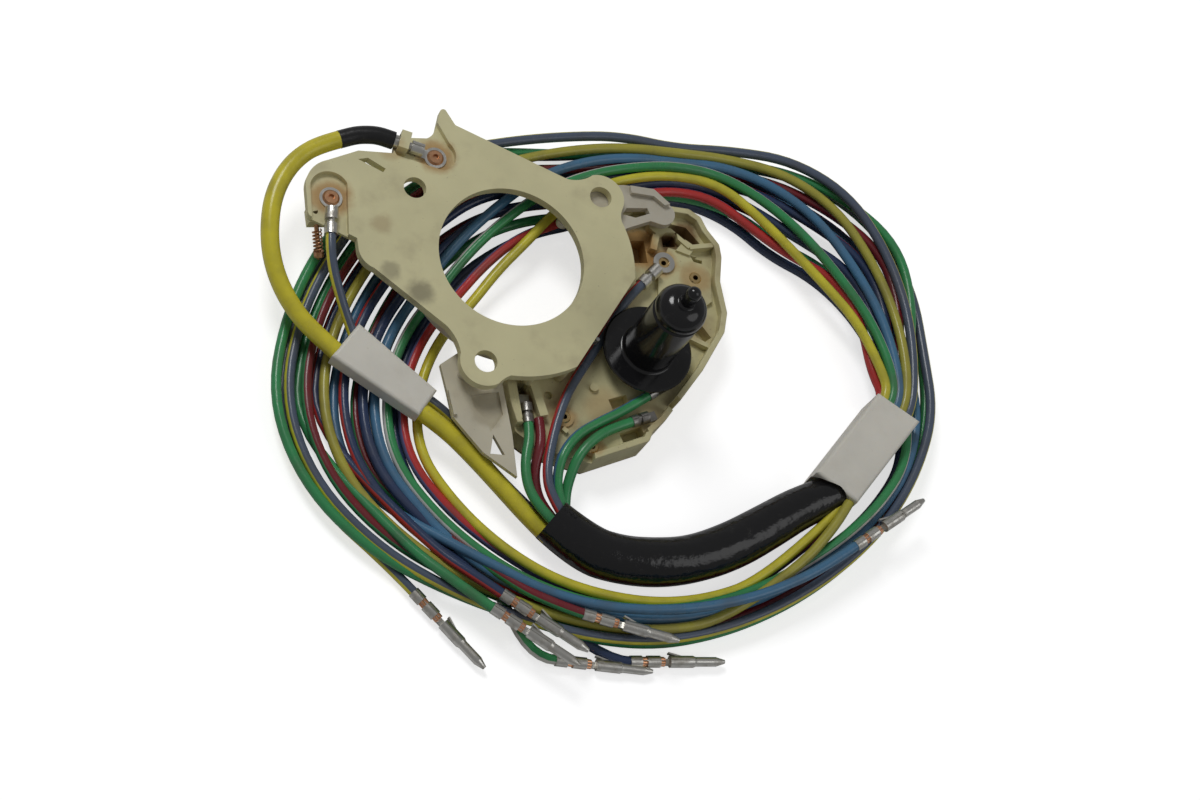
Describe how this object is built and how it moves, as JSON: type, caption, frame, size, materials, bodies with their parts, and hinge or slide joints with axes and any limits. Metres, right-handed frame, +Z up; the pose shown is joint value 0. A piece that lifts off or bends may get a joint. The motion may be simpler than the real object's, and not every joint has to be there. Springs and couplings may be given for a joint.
{
  "type": "indicator stalk switch",
  "caption": "Turn indicator switch for a steering column with lever yoke, pull hazard knob, horn contact and a coiled wiring harness.",
  "frame": {"origin": "centre of the steering shaft hole on the top face of the mounting plate", "axes": "+Z up along the shaft axis out of the plate, +X to the switch body, +Y to the lever arm side"},
  "size_m": [0.1839, 0.147, 0.0487],
  "materials": {
    "ivory_nylon": "satin",
    "clear_nylon": "satin",
    "board": "matte",
    "brass": "satin",
    "copper": "satin",
    "spring_steel": "satin",
    "black_plastic": "gloss",
    "tinned_steel": "satin",
    "wire_red": "satin",
    "wire_green": "satin",
    "wire_blue": "satin",
    "wire_dark_red": "satin",
    "wire_yellow": "satin",
    "wire_grey": "satin",
    "black_tape": "gloss",
    "paper": "matte",
    "wire_mix": "satin"
  },
  "bodies": {
    "switch": {"body_terminal_right": "tinned_steel", "brass_eyelets": "brass", "contact_board": "board", "detent_spring": "spring_steel", "feed_wire_lower": "wire_grey", "feed_wire_upper": "wire_grey", "fixed_contacts": "brass", "hazard_contacts": "brass", "heat_shrink": "black_tape", "horn_contact_spring": "copper", "horn_eyelets": "copper", "horn_terminal_left": "tinned_steel", "horn_terminal_top": "tinned_steel", "horn_wire_lower": "wire_yellow", "horn_wire_upper": "wire_yellow", "label_left": "paper", "label_right": "paper", "lead_blue": "wire_blue", "lead_dark_red": "wire_dark_red", "lead_green": "wire_green", "lead_green_left": "wire_green", "lead_red": "wire_red", "mounting_plate": "ivory_nylon", "pin_terminals": "tinned_steel", "slot_terminals": "tinned_steel", "switch_body": "ivory_nylon", "tape_sleeve": "black_tape", "terminal_blue": "tinned_steel", "terminal_green": "tinned_steel", "wire_coil": "wire_mix", "wire_guard": "clear_nylon"},
    "yoke": {"signal_yoke": "clear_nylon"},
    "carrier": {"contact_carrier": "black_plastic", "carrier_contacts": "brass"},
    "hazard": {"hazard_knob": "black_plastic", "hazard_slider": "black_plastic"},
    "horn_tip": {"horn_contact_tip": "copper"}
  },
  "joints": [
    {"name": "signal_turn", "type": "hinge", "parent": "switch", "child": "yoke", "pos_m": [0, 0, -0.004], "axis": [0, 0, 1], "range_deg": [-8, 8], "deforming": ["detent_spring"]},
    {"name": "contact_carrier_slide", "type": "slide", "parent": "switch", "child": "carrier", "axis": [0.2419, 0.9703, 0], "range_m": [-0.0041, 0.0041]},
    {"name": "hazard_pull", "type": "slide", "parent": "switch", "child": "hazard", "axis": [0, 0, 1], "range_m": [0, 0.004]},
    {"name": "horn_contact_press", "type": "slide", "parent": "switch", "child": "horn_tip", "axis": [-0.1588, 0.7149, 0.6809], "range_m": [0, 0.0018], "stiffness_N_per_m": 200, "deforming": ["horn_contact_spring"]}
  ],
  "couplings": [
    {"joint": "contact_carrier_slide", "follows": "signal_turn", "m_per_rad": 0.0285}
  ]
}
